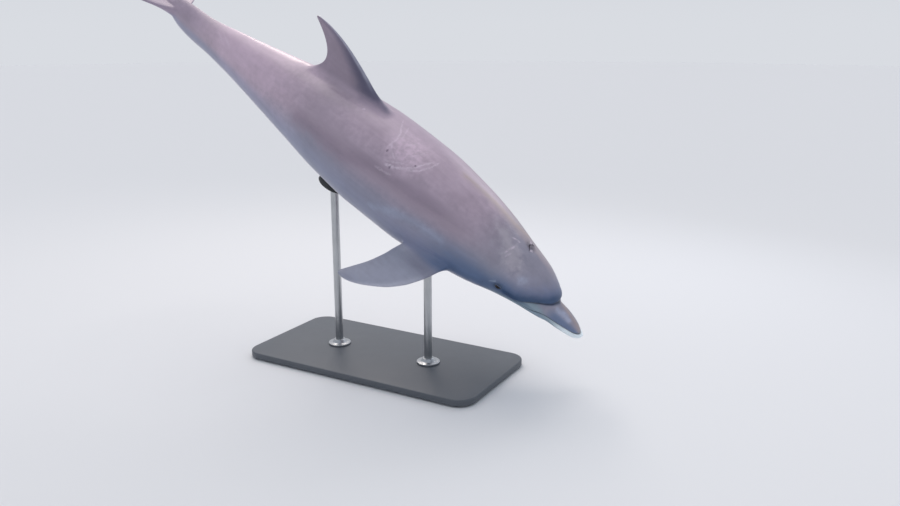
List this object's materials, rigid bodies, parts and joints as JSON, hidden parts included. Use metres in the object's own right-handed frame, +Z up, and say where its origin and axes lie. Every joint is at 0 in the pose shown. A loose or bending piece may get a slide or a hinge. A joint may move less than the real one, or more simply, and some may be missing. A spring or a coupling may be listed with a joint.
{
  "type": "bottlenose dolphin model",
  "caption": "Life-size bottlenose dolphin, diving head down with a slight bank, held by rods over a flat display base.",
  "frame": {"origin": "centre of the underside of the stand's base, on the floor", "axes": "+X the level direction in which the dolphin heads, +Z up, so that its right side faces -Y"},
  "size_m": [2.1898, 0.6749, 1.5631],
  "materials": {
    "skin": "smooth wet grey skin, darker on the back and fins, paler below",
    "eye": "dark wet eye",
    "base": "satin paint on board",
    "rod": "brushed",
    "saddle": "matt black pad"
  },
  "bodies": {
    "root": {"beak_upper": "skin", "beak_lower": "skin", "head": "skin", "neck": "skin", "chest": "skin", "midriff": "skin", "loin": "skin", "tail_stock_front": "skin", "tail_stock_rear": "skin", "dorsal_fin": "skin", "flipper_left": "skin", "flipper_right": "skin", "fluke_left": "skin", "fluke_right": "skin", "eye_left": "eye", "eye_right": "eye", "stand_base": "base", "stand_rod_front": "rod", "stand_rod_rear": "rod", "stand_socket_front": "rod", "stand_socket_rear": "rod", "stand_saddle_front": "saddle", "stand_saddle_rear": "saddle"}
  },
  "joints": []
}
